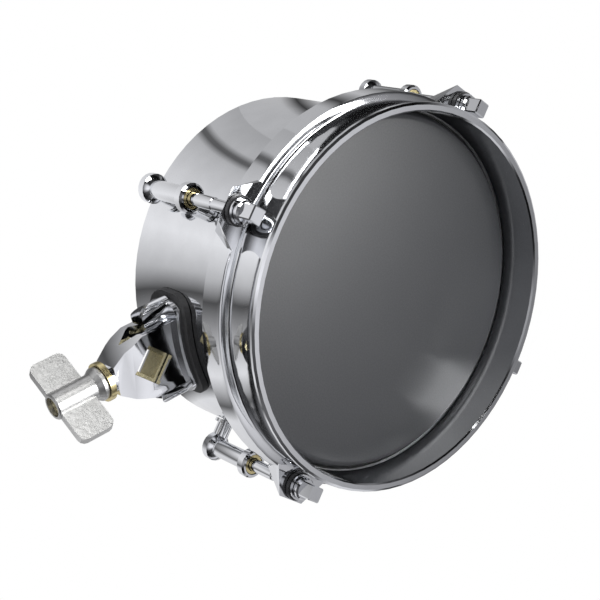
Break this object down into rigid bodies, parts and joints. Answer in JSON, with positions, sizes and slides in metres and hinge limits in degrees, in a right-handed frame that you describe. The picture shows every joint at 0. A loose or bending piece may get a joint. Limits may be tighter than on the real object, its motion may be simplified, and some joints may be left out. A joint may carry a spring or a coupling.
{
  "type": "micro snare drum",
  "caption": "Small chrome snare drum with a black head, a tall steel hoop, tube lugs, an inner snare unit and a rod clamp with a wing nut.",
  "frame": {"origin": "centre of the playing surface on top of the head", "axes": "+Z along the drum axis, up out of the head; the rod clamp points to -Y"},
  "size_m": [0.169, 0.2213, 0.0905],
  "materials": {
    "chrome": "polished",
    "satin_cast": "satin",
    "zinc_steel": "satin",
    "yellow_zinc": "satin",
    "brass": "satin",
    "aluminium": "satin",
    "black_film": "satin",
    "black_nylon": "satin",
    "rubber": "matte"
  },
  "bodies": {
    "drum": {"shell": "chrome", "batter_head": "black_film", "flesh_hoop": "aluminium", "counter_hoop": "chrome", "lug_1": "chrome", "lug_2": "chrome", "lug_3": "chrome", "lug_4": "chrome", "lug_insert_1": "brass", "lug_insert_2": "brass", "lug_insert_3": "brass", "lug_insert_4": "brass", "lug_screw_upper_1": "zinc_steel", "lug_screw_upper_2": "zinc_steel", "lug_screw_upper_3": "zinc_steel", "lug_screw_upper_4": "zinc_steel", "lug_screw_lower_1": "zinc_steel", "lug_screw_lower_2": "zinc_steel", "lug_screw_lower_3": "zinc_steel", "lug_screw_lower_4": "zinc_steel", "clamp_gasket": "rubber", "clamp_body": "chrome", "clamp_screw_1": "zinc_steel", "clamp_screw_2": "zinc_steel", "clamp_nut_1": "zinc_steel", "clamp_nut_2": "zinc_steel", "clamp_bearing": "brass", "snare_cross_bar": "zinc_steel"},
    "clamp_wing_nut": {"wing_nut": "satin_cast"},
    "clamp_eye_bolt": {"eye_bolt": "yellow_zinc"},
    "snare_screw": {"snare_adjuster": "brass", "adjuster_knob": "zinc_steel", "adjuster_clip": "zinc_steel"},
    "snare_lift": {"snare_carrier": "zinc_steel", "snare_strands": "zinc_steel", "guide_pin_1": "zinc_steel", "guide_pin_2": "zinc_steel"},
    "rod_washers_1": {"nylon_washer_1": "black_nylon", "rod_washer_1": "chrome"},
    "tension_screw_1": {"tension_rod_1": "chrome"},
    "rod_washers_2": {"nylon_washer_2": "black_nylon", "rod_washer_2": "chrome"},
    "tension_screw_2": {"tension_rod_2": "chrome"},
    "rod_washers_3": {"nylon_washer_3": "black_nylon", "rod_washer_3": "chrome"},
    "tension_screw_3": {"tension_rod_3": "chrome"},
    "rod_washers_4": {"nylon_washer_4": "black_nylon", "rod_washer_4": "chrome"},
    "tension_screw_4": {"tension_rod_4": "chrome"}
  },
  "joints": [
    {"name": "rod_lift_1", "type": "slide", "parent": "drum", "child": "rod_washers_1", "axis": [0, 0, 1], "range_m": [0, 0.00423]},
    {"name": "rod_turn_1", "type": "hinge", "parent": "rod_washers_1", "child": "tension_screw_1", "pos_m": [0.06187, 0.06187, 0.003], "axis": [0, 0, 1], "range_deg": [0, 1440]},
    {"name": "rod_lift_2", "type": "slide", "parent": "drum", "child": "rod_washers_2", "axis": [0, 0, 1], "range_m": [0, 0.00423]},
    {"name": "rod_turn_2", "type": "hinge", "parent": "rod_washers_2", "child": "tension_screw_2", "pos_m": [-0.06187, 0.06187, 0.003], "axis": [0, 0, 1], "range_deg": [0, 1440]},
    {"name": "rod_lift_3", "type": "slide", "parent": "drum", "child": "rod_washers_3", "axis": [0, 0, 1], "range_m": [0, 0.00423]},
    {"name": "rod_turn_3", "type": "hinge", "parent": "rod_washers_3", "child": "tension_screw_3", "pos_m": [-0.06187, -0.06187, 0.003], "axis": [0, 0, 1], "range_deg": [0, 1440]},
    {"name": "rod_lift_4", "type": "slide", "parent": "drum", "child": "rod_washers_4", "axis": [0, 0, 1], "range_m": [0, 0.00423]},
    {"name": "rod_turn_4", "type": "hinge", "parent": "rod_washers_4", "child": "tension_screw_4", "pos_m": [0.06187, -0.06187, 0.003], "axis": [0, 0, 1], "range_deg": [0, 1440]},
    {"name": "wing_nut_turn", "type": "hinge", "parent": "drum", "child": "clamp_wing_nut", "pos_m": [0, -0.12, -0.046], "axis": [0, -1, 0], "range_deg": [0, 720]},
    {"name": "eye_bolt_slide", "type": "slide", "parent": "drum", "child": "clamp_eye_bolt", "axis": [0, 1, 0], "range_m": [0, 0.00249]},
    {"name": "adjuster_turn", "type": "hinge", "parent": "drum", "child": "snare_screw", "pos_m": [0, 0, -0.05], "axis": [0, 0, 1], "range_deg": [0, 1080]},
    {"name": "snare_lift_slide", "type": "slide", "parent": "drum", "child": "snare_lift", "axis": [0, 0, 1], "range_m": [-0.00239, 0]}
  ],
  "couplings": [
    {"joint": "rod_turn_1", "follows": "rod_lift_1", "rad_per_m": 5938.7},
    {"joint": "rod_turn_2", "follows": "rod_lift_2", "rad_per_m": 5938.7},
    {"joint": "rod_turn_3", "follows": "rod_lift_3", "rad_per_m": 5938.7},
    {"joint": "rod_turn_4", "follows": "rod_lift_4", "rad_per_m": 5938.7},
    {"joint": "wing_nut_turn", "follows": "eye_bolt_slide", "rad_per_m": 5026.5},
    {"joint": "adjuster_turn", "follows": "snare_lift_slide", "rad_per_m": -7854}
  ]
}
